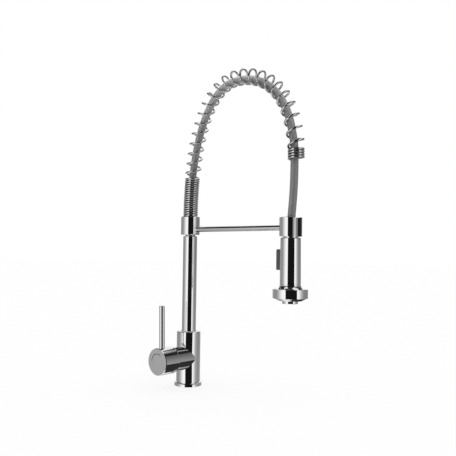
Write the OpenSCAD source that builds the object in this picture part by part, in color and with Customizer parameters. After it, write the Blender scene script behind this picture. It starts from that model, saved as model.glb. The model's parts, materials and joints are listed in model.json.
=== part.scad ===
// Spring-arch kitchen faucet with a docked pull-down spray head.
// Millimetres. +Z up, +X along the reach, the lever side faces -Y.
// Origin: centre of the underside of the base flange.

/* [Base and valve body] */
// Diameter of the valve body and its side boss
body_d = 43; // [42:0.5:46]
// How far the base flange stands out beyond the body
flange_lip = 3; // [2:0.5:8]
// Height of the base flange
flange_h = 6; // [4:0.1:9]
// Height of the valve axis above the counter
valve_z = 49.4; // [46:0.1:60]
// Height of the body above the valve axis
body_rise = 46.5; // [44:0.1:60]
// Length of the side boss from the body axis
boss_len = 42; // [41:0.5:50]

/* [Cartridge] */
// Outer diameter of the valve cartridge
cartridge_d = 34.6; // [33:0.1:35.4]
// Distance from the body axis to the cartridge seat
seat_t = 12; // [12:0.1:12.6]
// Thickness of each ceramic disc
disc_h = 3.6; // [3:0.1:4]
// Outward tilt of the lever at full flow, in degrees
flow_tilt = 20; // [10:1:22]

/* [Handle] */
// How far the hub stands out beyond the boss radius
hub_over = 1.7; // [1.5:0.1:4]
// Length of the hub along the valve axis
hub_len = 32.6; // [31:0.1:45]
// Running gap between the boss and the hub
hub_gap = 1.2; // [0.6:0.1:2]
// Diameter of the lever rod
lever_d = 9.8; // [6:0.1:10.4]
// Height of the rod's top above the valve axis
lever_rise = 95.4; // [60:0.1:140]
// Distance of the rod's axis from the hub's end face
lever_inset = 11.3; // [8:0.1:12]
// Outward lean of the rod, in degrees
lever_lean = 1.3; // [0:0.1:5]
// Radius of the temperature arc on the hub's face
mark_r = 13.7; // [8:0.1:18]
// Width of the temperature arc
mark_w = 1.2; // [0.8:0.1:2]

/* [Column] */
// Outer diameter of the column
column_d = 25.6; // [25:0.1:28]
// Height of the column's top above the counter
column_top = 267; // [200:1:340]
// Diameter of the neck between column and collar
neck_d = 18; // [16:0.5:19]
// Height of the neck that shows under the collar
neck_gap = 2.1; // [1:0.1:6]
// Length of the column's tail inside the body
tail_len = 22; // [18:0.5:22]
// Radius of the column's tail
tail_r = 10; // [9:0.1:10.5]

/* [Collar and arm] */
// Outer diameter of the collar
collar_d = 34.4; // [33:0.1:40]
// Height of the collar
collar_h = 32.8; // [30:0.1:44]
// Depth of the spring's seat in the collar's top
seat_depth = 7.5; // [5:0.1:9]
// Height of the arm's axis above the collar's foot
arm_rise = 9.8; // [8:0.1:15]
// Diameter of the arm
arm_d = 9.7; // [7:0.1:12]
// Distance from the column's axis to the spray head's axis
reach = 222; // [190:1:250]

/* [Dock] */
// Outer diameter of the dock ring
dock_d = 36.6; // [35.5:0.1:42]
// Height of the dock ring
dock_h = 30.5; // [26:0.1:40]
// Height of the arm's axis above the ring's foot
dock_arm_rise = 14.4; // [8:0.1:16]
// Thickness of the dock's liner
liner_t = 1.55; // [1:0.05:2]
// Clear width of the slot in front of the ring
slot_w = 18; // [14:0.5:20]
// Lean of the ring's two end faces beside the slot, in degrees
slot_lean = 12; // [0:1:30]

/* [Spring] */
// Wire diameter
wire_d = 3.4; // [2.4:0.1:3.5]
// Mean coil diameter where the turns lie close
close_mean_d = 22.5; // [21.5:0.1:23.5]
// Mean coil diameter in the open arch
open_mean_d = 25.2; // [24:0.1:28]
// Pitch of the close turns
close_pitch = 4.1; // [4:0.1:5]
// Close turns at the collar
foot_turns = 18.3; // [12:0.1:20]
// Open turns over the arch
open_turns = 22; // [16:1:26]
// Close turns at the free end
tip_turns = 3.5; // [2:0.1:6]
// How much wider the open turns get towards the free end, as a share
pitch_growth = 0.094; // [0:0.001:0.2]
// Where the wire starts on its first turn, as a share of a turn
start_turn = 0.71; // [0:0.01:1]
// How far an open turn's front leans back along the arch, as a share of its radius
coil_lean = 0.2; // [0:0.01:0.25]
// Height of the coil's axis at the top of the arch
apex_z = 538; // [500:1:600]
// Distance of the arch's top from the column's axis
apex_x = 109; // [95:1:125]
// How far the free end stands outside the spray head's axis
tip_out = 9.3; // [0:0.1:12]
// Height of the free end above the dock ring
tip_rise = 94.1; // [60:0.1:120]

/* [Hose] */
// Outer diameter of the hose
hose_d = 12.8; // [10:0.1:12.8]
// Bore of the hose
hose_bore = 8; // [5:0.1:8.4]
// How far the hose leans to the inside of the arch
hose_lean = 3.1; // [0:0.1:3.2]
// How far it leans at the free end
tip_lean = 2.4; // [0:0.1:2.5]

/* [Spray head] */
// Diameter of the docking neck
dock_neck_d = 24.6; // [24:0.1:25]
// Gap between the dock ring and the head, where the neck shows
neck_show = 1.8; // [1:0.1:8]
// Diameter of the head at its top
head_top_d = 32.6; // [32:0.1:35]
// Diameter of the head above the flare
head_foot_d = 33.6; // [33:0.1:36]
// Length of the head's straight shell
head_len = 73.4; // [70:0.1:90]
// Height of the flare under the shell
flare_h = 6.8; // [4:0.1:8]
// How far the flare widens
flare_w = 3.6; // [2:0.1:5]
// Diameter of the bell
bell_d = 56.2; // [52:0.1:66]
// Height of the bell's rim
bell_h = 14.2; // [12:0.1:18]
// Height of the bell's lower bevel
bevel_h = 4; // [3:0.1:6]
// Diameter of the aerator tip
tip_d = 25.2; // [22:0.1:26]
// How far the aerator stands out below the bell
tip_show = 4.8; // [3:0.1:8]
// Number of spray nozzles in the ring
nozzle_count = 20; // [12:1:20]

/* [Button] */
// Height of the button
button_h = 33; // [24:0.5:36]
// Distance of the button's top below the head's top
button_drop = 18.2; // [16:0.1:24]
// Width of the button
button_w = 14; // [10:0.5:15]
// How far the button stands out of the shell
button_out = 6.8; // [4:0.1:9]
// Travel of the button
button_travel = 3; // [1:0.1:3.5]

/* [Hidden] */

$fn = 72;
e = 0.01;

// Clearances
face_gap = 0.3;      // between faces of pieces that move past each other
fit_gap = 0.05;      // radial gap of a running fit or a slip fit
seat_gap = 0.05;     // between pieces of one group that rest on each other
chamfer = 0.6;       // edge break on the turned pieces

// Base and valve body
body_r = body_d / 2;
boss_r = body_r - 0.4;
flange_r = body_r + flange_lip;
body_top = valve_z + body_rise;
spigot_r = body_r - 3.5;
gasket_h = 1.6;
gasket_w = 2.6;
inlet_r = 5;                     // M10 x 1 hose threads
inlet_x = 8;
inlet_y = -4;
stud_r = 4;                      // M8 clamping stud
stud_y = 10.2;
thread_depth = 12;
passage_r = 3;
riser_r = 5;
body_chamfer = 1.2;
flange_chamfer = 1.6;

// Cartridge, along the valve axis
stem_w = 8;
cart_r = cartridge_d / 2;
cart_bore_r = cart_r + 0.1;
nut_depth = 4.8;
housing_t = seat_t + face_gap;
housing_end = boss_len - nut_depth - 0.2;
housing_wall = 1.8;
housing_floor = 3;
cup_r = cart_r - housing_wall;
fixed_t = housing_t + housing_floor + seat_gap;
control_t = fixed_t + disc_h + 0.1;
control_end = control_t + disc_h - 0.2;
control_r = cup_r - 4.1;
pivot_t = boss_len - 12;
carrier_t = control_end + face_gap;
carrier_end = housing_end - 0.4;
carrier_r = cup_r - 0.1;
pin_reach = carrier_r - 1.2;
stem_swing = (carrier_end - pivot_t) * sin(flow_tilt) + stem_w / 2 / cos(flow_tilt) + 1.2;
port_x = 8;
port_y = 4.4;
port_out_y = 8;
port_r = 2.6;
hollow_r = 6.5;                  // mixing hollow in the control disc
hollow_depth = 0.4;
seal_r = 3.9;
seal_wire = 0.9;
nut_head_h = 2.8;
nut_hole_r = 13;
nut_flats = 34;
dome_t = boss_len + nut_head_h + 2 * seat_gap;
sweep_r = norm([boss_len - pivot_t, boss_r]);
cavity_r = sweep_r + 0.5;
dome_r = sweep_r - 0.8;
dome_wall = 1.3;
dome_hole_r = 14.4;

// Handle, along the valve axis
hub_r = body_r + hub_over;
hub_t = boss_len + hub_gap;
hub_end = hub_t + hub_len;
lever_t = hub_end - lever_inset;
lever_r = lever_d / 2;
lever_foot = 8;
stem_end = pivot_t + cavity_r + 5;
ball_r = 6;
tip_ball_r = 1.8;
tip_ball_t = control_end - 0.6;
pin_r = 1.5;
set_screw_r = 2.5;
set_screw_len = 7.9;
key_r = 1.3;                     // hex key holes of the screws
hub_round = 2.2;                 // length of the hub's rounded back edge
mark_depth = 0.3;
mark_start = 56;                 // the arc's angles on the hub's face
mark_sweep = 122;
hot_from = 96;

// Column
column_r = column_d / 2;
glide_lip = 1.2;
glide_rim_h = 1;
column_foot = body_top + 0.6;
tail_foot = column_foot - tail_len;
tail_bore_r = 6;
bush_r = tail_r + fit_gap + 1.5;
column_wall = 2.1;
thread_r = neck_d / 2 - 0.4;
plug_h = 12;
groove_foot = tail_foot + 3;
screw_r = 2;
groove_h = 2 * screw_r + 0.6;
groove_depth = 1.5;
oring_wire = 0.9;
oring_groove = 2.4;
oring_heights = [column_foot - 5, column_foot - 10];

// Collar and arm
collar_r = collar_d / 2;
collar_foot = column_top + neck_gap;
collar_top = collar_foot + collar_h;
spring_seat = collar_top - seat_depth;
nipple_r = neck_d / 2;
nipple_top = spring_seat - 3;
nipple_bore_r = 4.5;
arm_z = collar_foot + arm_rise;
arm_r = arm_d / 2;
arm_root = nipple_r + 2;

// Dock
dock_r = dock_d / 2;
dock_foot = arm_z - dock_arm_rise;
dock_top = dock_foot + dock_h;
neck_r = dock_neck_d / 2;
liner_in_r = neck_r + face_gap;
liner_r = liner_in_r + liner_t;
ring_bore_r = liner_r + seat_gap;
lip_t = 1;
cut_w = slot_w + 2 * (lip_t + seat_gap);
slot_end_x = 0.75 * dock_r;      // from the ring's axis to its end faces at the slot
dock_screw_r = 1.9;
dock_screw_len = 9;
dock_screw_head_r = 3.7;

// Spring and hose
wire_r = wire_d / 2;
spring_foot = spring_seat + wire_r + face_gap;
spring_recess_r = (close_mean_d + wire_d) / 2 + 1;
tip_x = reach + tip_out;
tip_z = dock_top + tip_rise;
hose_r = hose_d / 2;
ferrule_wall = 1.2;
ferrule_r = hose_r + 0.1 + ferrule_wall;
ferrule_top = spring_seat + 12;
hose_foot = nipple_top + 2.4;

// Spray head
head_top = dock_foot - neck_show;
head_foot = head_top - head_len;
seam_h = 0.3;
flare_foot = head_foot - seam_h - flare_h;
bell_r = bell_d / 2;
rim_r = 0.6;
rim_top = flare_foot - 0.1;
rim_foot = rim_top - bell_h;
bell_foot = rim_foot - bevel_h;
tip_foot = bell_foot - tip_show;
aerator_r = tip_d / 2;
neck_top = dock_top - 0.7;
spigot_len = 18;
spigot_foot = head_top + face_gap - spigot_len;
swivel_r = 7.5;
groove_z = head_top - 11;
shell_wall = 1.8;
core_r = head_top_d / 2 - shell_wall - 0.1;
core_top = head_top - 2.2;
core_foot = rim_top - 5.5;
core_neck_r = core_r - 0.6;
chamber_r = 5.5;
valve_foot = spigot_foot - 12;
valve_h = 8;
clip_h = 1;
clip_r = 8.5;
clip_z = spigot_foot + 1.4;
face_r = bell_r - 8.5;
face_top_gap = 1.5;
face_top = core_foot + 0.5 - face_top_gap - seat_gap;
face_foot = bell_foot + 0.6;
nozzle_r = 1.1;
nozzle_rings = [2.1, 5.3];       // distances of the rings from the aerator
bore_foot = dock_foot + 2;
washer_top = bore_foot + 1.6;
mouth_r = hose_r + 1.8;          // the hose swings in the neck's wide mouth
mouth_foot = neck_top - 11.3;

// Button
button_z = head_top - button_drop - button_h / 2;
button_x = reach - head_top_d / 2 - button_out;
button_root = reach - core_r + 1.5;
button_gap = 0.35;
stem_r = 2.5;
corner_r = 2;

// ---------- helpers ----------

// A child's local +Z runs out along the boss, its +Y points up
module valve_axis() translate([0, 0, valve_z]) rotate([90, 0, 0]) children();

// Turned piece: profile points are [radius, height]
module turned(profile) rotate_extrude() polygon(profile);

module rod(r, z0, z1) translate([0, 0, z0]) cylinder(r = r, h = z1 - z0);

module tube(r, bore, z0, z1) difference() {
    rod(r, z0, z1);
    rod(bore, z0 - 1, z1 + 1);
}

module torus(ring_r, wire) rotate_extrude() translate([ring_r, 0]) circle(r = wire, $fn = 24);

module at_head() translate([reach, 0, 0]) children();

// ---------- the arch's centreline, in the X-Z plane ----------

function bezier(p, t) = pow(1 - t, 3) * p[0] + 3 * pow(1 - t, 2) * t * p[1]
    + 3 * (1 - t) * t * t * p[2] + pow(t, 3) * p[3];

function bezier_slope(p, t) = 3 * pow(1 - t, 2) * (p[1] - p[0])
    + 6 * (1 - t) * t * (p[2] - p[1]) + 3 * t * t * (p[3] - p[2]);

rise_side = [[0, spring_foot], [0, spring_foot + 0.55 * (apex_z - spring_foot)],
    [0.28 * apex_x, apex_z], [apex_x, apex_z]];
fall_side = [[apex_x, apex_z], [apex_x + 0.55 * (tip_x - apex_x), apex_z],
    [tip_x, tip_z + 0.67 * (apex_z - tip_z)], [tip_x, tip_z]];

function arch_at(t) = t < 1 ? bezier(rise_side, t) : bezier(fall_side, t - 1);
function arch_slope(t) = t < 1 ? bezier_slope(rise_side, t) : bezier_slope(fall_side, t - 1);

arch_steps = 160;
arch_t = [for (i = [0 : arch_steps]) 2 * i / arch_steps];
arch_points = [for (t = arch_t) arch_at(t)];
arch_lengths = [for (i = 0, s = 0; i <= arch_steps;
    i = i + 1, s = i > arch_steps ? s : s + norm(arch_points[i] - arch_points[i - 1])) s];
arch_length = arch_lengths[arch_steps];
length_to_t = [for (i = [0 : arch_steps]) [arch_lengths[i], arch_t[i]]];

function unit(v) = v / norm(v);
function centre(s) = arch_at(lookup(s, length_to_t));
function along(s) = unit(arch_slope(lookup(s, length_to_t)));
// Unit vector towards the inside of the arch
function inward(s) = let(a = along(s)) [a[1], -a[0]];
function in_space(p) = [p[0], 0, p[1]];
function smooth(a, b, x) = let(k = min(1, max(0, (x - a) / (b - a)))) k * k * (3 - 2 * k);

// ---------- the spring: one unbroken wire ----------

turn_steps = 8;
wire_sides = 6;
all_turns = foot_turns + open_turns + tip_turns;
foot_length = foot_turns * close_pitch;
tip_length = tip_turns * close_pitch;
open_length = arch_length - foot_length - tip_length;

// Distance along the centreline after u turns
function turn_length(u) = let(k = (u - foot_turns) / open_turns)
    k < 0 ? u * close_pitch
    : k < 1 ? foot_length + open_length * (k + pitch_growth * (k * k - k))
    : open_length + (u - open_turns) * close_pitch;

// Coil radius after u turns
function turn_radius(u) = (close_mean_d + (open_mean_d - close_mean_d)
    * (smooth(foot_turns - 0.5, foot_turns + 1, u)
    - smooth(all_turns - tip_turns - 1, all_turns - tip_turns + 0.5, u))) / 2;

// Lean of the coil after u turns: none where the turns lie close, less down the far leg
function turn_lean(u) = coil_lean * (smooth(foot_turns, foot_turns + 1.5, u)
    - smooth(foot_turns + 0.5 * open_turns, foot_turns + 0.9 * open_turns, u));

function coil_at(u) = let(s = turn_length(u), r = turn_radius(u),
    a = 360 * (u - start_turn))
    in_space(centre(s)) - r * cos(a) * in_space(inward(s))
    - r * sin(a) * ([0, 1, 0] + turn_lean(u) * in_space(along(s)));

coil_steps = floor(all_turns * turn_steps);
coil_points = [for (i = [0 : coil_steps]) coil_at(i / turn_steps)];
wire_start = coil_points[0] - wire_d * unit(coil_points[1] - coil_points[0]);
wire_end = coil_points[coil_steps]
    + wire_d * unit(coil_points[coil_steps] - coil_points[coil_steps - 1]);
wire_points = concat([wire_start], coil_points, [wire_end]);

function sweep_ring(points, i, sides, r, side_way) =
    let(last = len(points) - 1,
        ahead = unit(points[min(i + 1, last)] - points[max(i - 1, 0)]),
        across = unit(cross(ahead, side_way)),
        up = cross(across, ahead))
    [for (k = [0 : sides - 1]) points[i] + r * (cos(360 * k / sides) * up
        + sin(360 * k / sides) * across)];

// Triangles between ring rows of a swept tube, rows first to last
function row_faces(first, last, sides, flip) = [
    for (i = [first : last - 1]) for (k = [0 : sides - 1])
        let(a = i * sides + k, b = i * sides + (k + 1) % sides,
            c = a + sides, d = b + sides)
        for (f = flip ? [[a, b, c], [b, d, c]] : [[a, c, b], [b, c, d]]) f];

function cap_faces(row, sides, flip) = [
    for (k = [1 : sides - 2]) let(a = row * sides)
        flip ? [a, a + k, a + k + 1] : [a, a + k + 1, a + k]];

// Direction from the coil's axis to the wire at each step, for an untwisted section
function coil_side(i) = let(u = max(0, min(coil_steps, i - 1)) / turn_steps,
    s = turn_length(u)) unit(coil_at(u) - in_space(centre(s)));

least_gap = min([for (i = [0 : len(wire_points) - 1]) for (j = [i + 5 : i + 12])
    if (j < len(wire_points)) norm(wire_points[j] - wire_points[i]) - wire_d]);
echo(str("least gap of the spring's wire to itself: ", least_gap, " mm"));

// ---------- the hose ----------

hose_sides = 10;
hose_arch_steps = 44;
hose_drop_steps = 8;
lean_from = foot_length - 6;

function hose_offset(s) = hose_lean * smooth(lean_from, lean_from + 170, s)
    - (hose_lean - tip_lean) * smooth(arch_length - 50, arch_length - tip_length, s);

hose_arch = [for (i = [1 : hose_arch_steps]) let(s = arch_length * i / hose_arch_steps)
    centre(s) + hose_offset(s) * inward(s)];
hose_leave = hose_arch[hose_arch_steps - 1];
drop_h = hose_leave[1] - mouth_foot;
hose_drop = [hose_leave, hose_leave - [0, 0.45 * drop_h],
    [reach + 0.04 * drop_h, mouth_foot + 0.4 * drop_h], [reach, mouth_foot]];
hose_route = [for (p = concat([[0, hose_foot], [0, spring_foot]], hose_arch,
    [for (i = [1 : hose_drop_steps]) bezier(hose_drop, i / hose_drop_steps)],
    [[reach, bore_foot + 6], [reach, bore_foot + 3]])) in_space(p)];
hose_length = [for (i = 1, s = 0; i <= len(hose_route);
    s = i < len(hose_route) ? s + norm(hose_route[i] - hose_route[i - 1]) : s, i = i + 1) s];
echo(str("hose length: ", hose_length[len(hose_length) - 1], " mm"));

// Tube with a bore, swept along points in the X-Z plane
module hose_tube(points, r, bore) {
    n = len(points);
    sides = hose_sides;
    rings = concat(
        [for (i = [0 : n - 1]) each sweep_ring(points, i, sides, r, [0, 1, 0])],
        [for (i = [0 : n - 1]) each sweep_ring(points, i, sides, bore, [0, 1, 0])]);
    ends = [for (k = [0 : sides - 1]) let(m = (k + 1) % sides, low = n * sides,
        top = (n - 1) * sides, up = low + top)
        each [[k, m, low + k], [m, low + m, low + k],
            [top + k, up + k, top + m], [top + m, up + k, up + m]]];
    polyhedron(rings, concat(row_faces(0, n - 1, sides, false),
        row_faces(n, 2 * n - 1, sides, true), ends));
}

// ---------- base and valve body ----------

module base_flange() color("silver") difference() {
    turned([[spigot_r + fit_gap, 0], [flange_r, 0], 
        [flange_r, flange_h - flange_chamfer],
        [flange_r - flange_chamfer / 3, flange_h - flange_chamfer / 3],
        [flange_r - flange_chamfer, flange_h],
        [spigot_r + fit_gap, flange_h]]);
    tube(flange_r - 1.2, flange_r - 1.2 - gasket_w, -1, gasket_h);
}

module base_gasket() color("dimgray")
    tube(flange_r - 1.2 - fit_gap, flange_r - 1.2 - gasket_w + fit_gap, 0, gasket_h - seat_gap);

module valve_body() color("silver") difference() {
    union() {
        turned([[0, 0], [spigot_r, 0], [spigot_r, flange_h + seat_gap],
            [body_r - body_chamfer, flange_h + seat_gap],
            [body_r, flange_h + seat_gap + body_chamfer], [body_r, body_top - 0.8],
            [body_r - 0.8, body_top], [0, body_top]]);
        valve_axis() rod(boss_r, 0, boss_len);
    }
    // cartridge chamber
    valve_axis() rod(cart_bore_r, seat_t, boss_len + 1);
    // column seat
    rod(bush_r, tail_foot - 0.5, body_top + 1);
    rod(column_r + glide_lip, body_top - glide_rim_h, body_top + 1);
    // water ways
    for (side = [-1, 1]) translate([side * inlet_x, inlet_y, 0]) {
        rod(inlet_r, -1, thread_depth);
        rod(passage_r, thread_depth - 1, valve_z - port_y + passage_r);
    }
    valve_axis() port_holes(port_r, -inlet_y - 1, seat_t + 1);
    rod(riser_r, valve_z + port_out_y - riser_r, tail_foot);
    // clamping stud and column screw
    translate([0, stud_y, 0]) rod(stud_r, -1, thread_depth);
    column_screw_axis() rod(screw_r + fit_gap, 0, body_r + 1);
}

module column_screw_axis() translate([0, 0, groove_foot + groove_h / 2])
    rotate([-90, 0, 0]) children();

module column_screw() color("dimgray") column_screw_axis() difference() {
    rod(screw_r, tail_r - groove_depth + 0.4, body_r - 1.5);
    translate([0, 0, body_r - 3.5]) cylinder(r = 1.1, h = 3, $fn = 6);
}

module glide_ring() color("whitesmoke") difference() {
    union() {
        rod(bush_r - seat_gap, tail_foot + 0.5, column_foot - face_gap);
        rod(column_r + glide_lip - fit_gap, body_top - glide_rim_h + seat_gap,
            column_foot - face_gap);
    }
    rod(tail_r + fit_gap, tail_foot, column_foot + 1);
    column_screw_axis() rod(screw_r + 0.3, 0, body_r);
}

// ---------- cartridge ----------

module port_holes(r, z0, z1) {
    for (side = [-1, 1]) translate([side * port_x, -port_y, 0]) rod(r, z0, z1);
    translate([0, port_out_y, 0]) rod(r, z0, z1);
}

module cartridge_housing() color("whitesmoke") valve_axis() difference() {
    rod(cart_r, housing_t, housing_end);
    rod(cup_r, housing_t + housing_floor, housing_end + 1);
    port_holes(port_r, housing_t - 1, housing_t + housing_floor + 1);
    port_holes(seal_r + seal_wire + 0.1, housing_t - 1, seat_t + 2 * seal_wire + 0.2);
}

module cartridge_seals() color("dimgray") valve_axis() {
    for (p = [[-port_x, -port_y], [port_x, -port_y], [0, port_out_y]])
        translate([p[0], p[1], seat_t + seal_wire + fit_gap])
            torus(seal_r, seal_wire - 0.1);
}

module fixed_disc() color("white") valve_axis() difference() {
    rod(cup_r - fit_gap, fixed_t, fixed_t + disc_h);
    port_holes(port_r - 0.2, fixed_t - 1, fixed_t + disc_h + 1);
}

module control_disc() color("white") valve_axis() difference() {
    rod(control_r, control_t, control_end);
    rod(tip_ball_r + 0.12, tip_ball_t - tip_ball_r - 0.25, control_end + 1);
    // mixing hollow on the sliding face
    translate([0, 1.5, 0]) rod(hollow_r, control_t - 1, control_t + hollow_depth);
}

module cartridge_carrier() color("lightgray") valve_axis() difference() {
    rod(carrier_r, carrier_t, carrier_end);
    translate([0, 0, pivot_t]) sphere(r = ball_r + face_gap);
    // room for the stem's outward tilt
    translate([-stem_w / 2 - face_gap, -stem_swing, pivot_t])
        cube([stem_w + 2 * face_gap, stem_swing + stem_w / 2 + 1, boss_len]);
    // room for the driving tip
    translate([-3.4, -3.6, carrier_t - 1])
        cube([6.8, 3.6 + tip_ball_r + (pivot_t - tip_ball_t) * sin(flow_tilt) + 1.2,
            pivot_t - carrier_t + 1]);
    // pin
    rotate_pin() rod(pin_r + 0.02, -pin_reach - 0.3, pin_reach + 0.3);
}

module rotate_pin() translate([0, 0, pivot_t]) rotate([0, 90, 0]) children();

module pivot_pin() color("gray") valve_axis() rotate_pin() rod(pin_r, -pin_reach, pin_reach);

module cartridge_nut() color("goldenrod") valve_axis() difference() {
    union() {
        rod(cart_bore_r - 0.1, boss_len - nut_depth, boss_len + e);
        translate([0, 0, boss_len + seat_gap])
            cylinder(r = nut_flats / 2 / cos(30), h = nut_head_h, $fn = 6);
        rod(nut_flats / 2, boss_len, boss_len + nut_head_h);
    }
    rod(nut_hole_r, boss_len - nut_depth - 1, boss_len + nut_head_h + 2);
}

module dome_cap() color("silver") valve_axis() difference() {
    translate([0, 0, pivot_t]) sphere(r = dome_r);
    translate([0, 0, pivot_t]) sphere(r = dome_r - dome_wall);
    rod(body_d, pivot_t - dome_r - 1, dome_t);
    rod(dome_hole_r, dome_t - 1, pivot_t + dome_r + 1);
}

// ---------- handle ----------

module spindle() color("gray") valve_axis() difference() {
    union() {
        translate([0, 0, pivot_t]) sphere(r = ball_r);
        translate([-stem_w / 2, -stem_w / 2, pivot_t])
            cube([stem_w, stem_w, stem_end - pivot_t]);
        rod(tip_ball_r - 0.4, tip_ball_t, pivot_t);
        translate([0, 0, tip_ball_t]) sphere(r = tip_ball_r);
    }
    rotate_pin() rod(pin_r + fit_gap, -ball_r - 1, ball_r + 1);
}

module handle_hub() color("silver") valve_axis() difference() {
    turned([[0, hub_t], [hub_r - hub_round / 2, hub_t],
        [hub_r - hub_round / 6, hub_t + hub_round * 0.4], [hub_r, hub_t + hub_round],
        [hub_r, hub_end - 0.9], [hub_r - 0.9, hub_end], [0, hub_end]]);
    translate([0, 0, pivot_t]) sphere(r = cavity_r);
    translate([-stem_w / 2 - fit_gap, -stem_w / 2 - fit_gap, hub_t])
        cube([stem_w + 2 * fit_gap, stem_w + 2 * fit_gap, stem_end + 0.3 - hub_t]);
    lever_axis() rod(lever_r + fit_gap, lever_foot, hub_r + 1);
    hub_screw_axis() rod(set_screw_r + fit_gap, stem_w / 2, hub_r + 1);
    arc_band(mark_start, mark_sweep, mark_w, hub_end - mark_depth, 1);
}

// A child's local +Z runs up the lever
module lever_axis() translate([0, 0, lever_t]) rotate([lever_lean - 90, 0, 0]) children();

module hub_screw_axis() translate([0, 0, stem_end - 3]) rotate([90, 0, 0]) children();

module set_screw(z) difference() {
    rod(set_screw_r, z, z + set_screw_len);
    translate([0, 0, z + set_screw_len - 2.5]) cylinder(r = key_r, h = 4, $fn = 6);
}

module hub_set_screw() color("dimgray") valve_axis() hub_screw_axis() set_screw(stem_w / 2 + 0.1);

module lever_rod() color("silver") valve_axis() lever_axis()
    turned([[0, lever_foot + 0.2], [lever_r, lever_foot + 0.2], [lever_r, lever_rise - 0.7],
        [lever_r - 0.7, lever_rise], [0, lever_rise]]);

// The arc runs from the left over the top of the hub's face
module arc_band(from, sweep, width, z, h) translate([0, 0, z]) rotate([0, 0, from])
    rotate_extrude(angle = sweep) translate([mark_r - width / 2, 0]) square([width, h]);

module hot_mark() color("firebrick") valve_axis()
    arc_band(hot_from + 0.4, mark_start + mark_sweep - hot_from - 0.8, mark_w - 0.1,
        hub_end - mark_depth + 0.02, mark_depth - 0.04);

module cold_mark() color("steelblue") valve_axis()
    arc_band(mark_start + 0.4, hot_from - mark_start - 0.8, mark_w - 0.1,
        hub_end - mark_depth + 0.02, mark_depth - 0.04);

// ---------- column ----------

module column_tube() color("silver") difference() {
    turned([[0, tail_foot], [tail_r, tail_foot], [tail_r, column_foot],
        [column_r - 0.3, column_foot], [column_r, column_foot + 0.3],
        [column_r, column_top - 1], [column_r - 0.3, column_top - 0.3],
        [column_r - 1, column_top], [0, column_top]]);
    rod(tail_bore_r, tail_foot - 1, column_foot + 6);
    rod(column_r - column_wall, column_foot + 5, column_top - plug_h);
    rod(thread_r + fit_gap, column_top - plug_h - 1, column_top + 1);
    tube(tail_r + 1, tail_r - groove_depth, groove_foot, groove_foot + groove_h);
    for (z = oring_heights) tube(tail_r + 1, tail_r - 2 * oring_wire, z, z + oring_groove);
}

module column_orings() color("dimgray") for (z = oring_heights)
    translate([0, 0, z + oring_groove / 2]) torus(tail_r - oring_wire + 0.02, oring_wire);

module outlet_nipple() color("dimgray") difference() {
    union() {
        rod(thread_r, column_top - plug_h + 0.6, column_top + 1);
        rod(nipple_r, column_top + seat_gap, nipple_top);
    }
    rod(nipple_bore_r, column_top - plug_h, nipple_top + 1);
}

// ---------- collar ----------

module collar() color("silver") difference() {
    turned([[nipple_r + fit_gap, collar_foot], [collar_r - chamfer, collar_foot],
        [collar_r, collar_foot + chamfer], [collar_r, collar_top - chamfer],
        [collar_r - chamfer, collar_top], [spring_recess_r, collar_top],
        [spring_recess_r, spring_seat], [nipple_r + fit_gap, spring_seat]]);
    translate([0, 0, arm_z]) rotate([0, 90, 0]) rod(arm_r + fit_gap, arm_root - 0.2, collar_r + 1);
    collar_screw_axis() rod(set_screw_r + fit_gap, 0, collar_r + 1);
}

module collar_screw_axis() translate([0, 0, arm_z]) rotate([0, -90, 0]) children();

module collar_set_screw() color("dimgray") collar_screw_axis() difference() {
    rod(set_screw_r, nipple_r + 0.1, collar_r - 0.8);
    translate([0, 0, collar_r - 3.3]) cylinder(r = key_r, h = 4, $fn = 6);
}

module support_spring() color("lightgray") {
    n = len(wire_points);
    rings = [for (i = [0 : n - 1])
        each sweep_ring(wire_points, i, wire_sides, wire_r, coil_side(i))];
    polyhedron(rings, concat(row_faces(0, n - 1, wire_sides, false),
        cap_faces(0, wire_sides, true), cap_faces(n - 1, wire_sides, false)));
}

module supply_hose() color("gray") hose_tube(hose_route, hose_r, hose_bore / 2);

module hose_ferrule_top() color("silver") difference() {
    union() {
        rod(nipple_r - 0.6, nipple_top + seat_gap, hose_foot - 0.1);
        rod(ferrule_r, hose_foot - 0.1, ferrule_top);
    }
    rod(hose_bore / 2, nipple_top - 1, hose_foot);
    rod(hose_r + 0.1, hose_foot - 0.1, ferrule_top + 1);
}

// ---------- dock ----------

module dock_arm() color("silver") difference() {
    translate([0, 0, arm_z]) rotate([0, 90, 0]) rod(arm_r, arm_root, reach - dock_r + 3);
    at_head() rod(dock_r + seat_gap, dock_foot - 5, dock_top + 5);
    translate([0, 0, arm_z]) rotate([0, 90, 0])
        rod(dock_screw_r + fit_gap, reach - dock_r - dock_screw_len, reach);
}

module slot_cut(width, x0) translate([x0, -width / 2, dock_foot - 1])
    cube([dock_r + 2, width, dock_h + 2]);

module dock_ring() color("silver") at_head() difference() {
    turned([[ring_bore_r, dock_foot], [dock_r - chamfer, dock_foot],
        [dock_r, dock_foot + chamfer], [dock_r, dock_top - chamfer],
        [dock_r - chamfer, dock_top], [ring_bore_r, dock_top]]);
    slot_cut(cut_w, 0);
    for (side = [-1, 1]) translate([slot_end_x, side * cut_w / 2, dock_foot - 1])
        rotate([0, 0, side * slot_lean]) translate([0, side > 0 ? -1 : -dock_r, 0])
            cube([dock_r, dock_r + 1, dock_h + 2]);
    dock_screw_axis() {
        rod(dock_screw_r + fit_gap, 0, dock_r + 1);
        translate([0, 0, ring_bore_r])
            cylinder(r1 = dock_screw_head_r + 0.2, r2 = dock_screw_r, h = 2.2);
        rod(dock_screw_head_r + 0.2, 0, ring_bore_r + e);
    }
}

module dock_screw_axis() translate([0, 0, arm_z]) rotate([0, -90, 0]) children();

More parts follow.
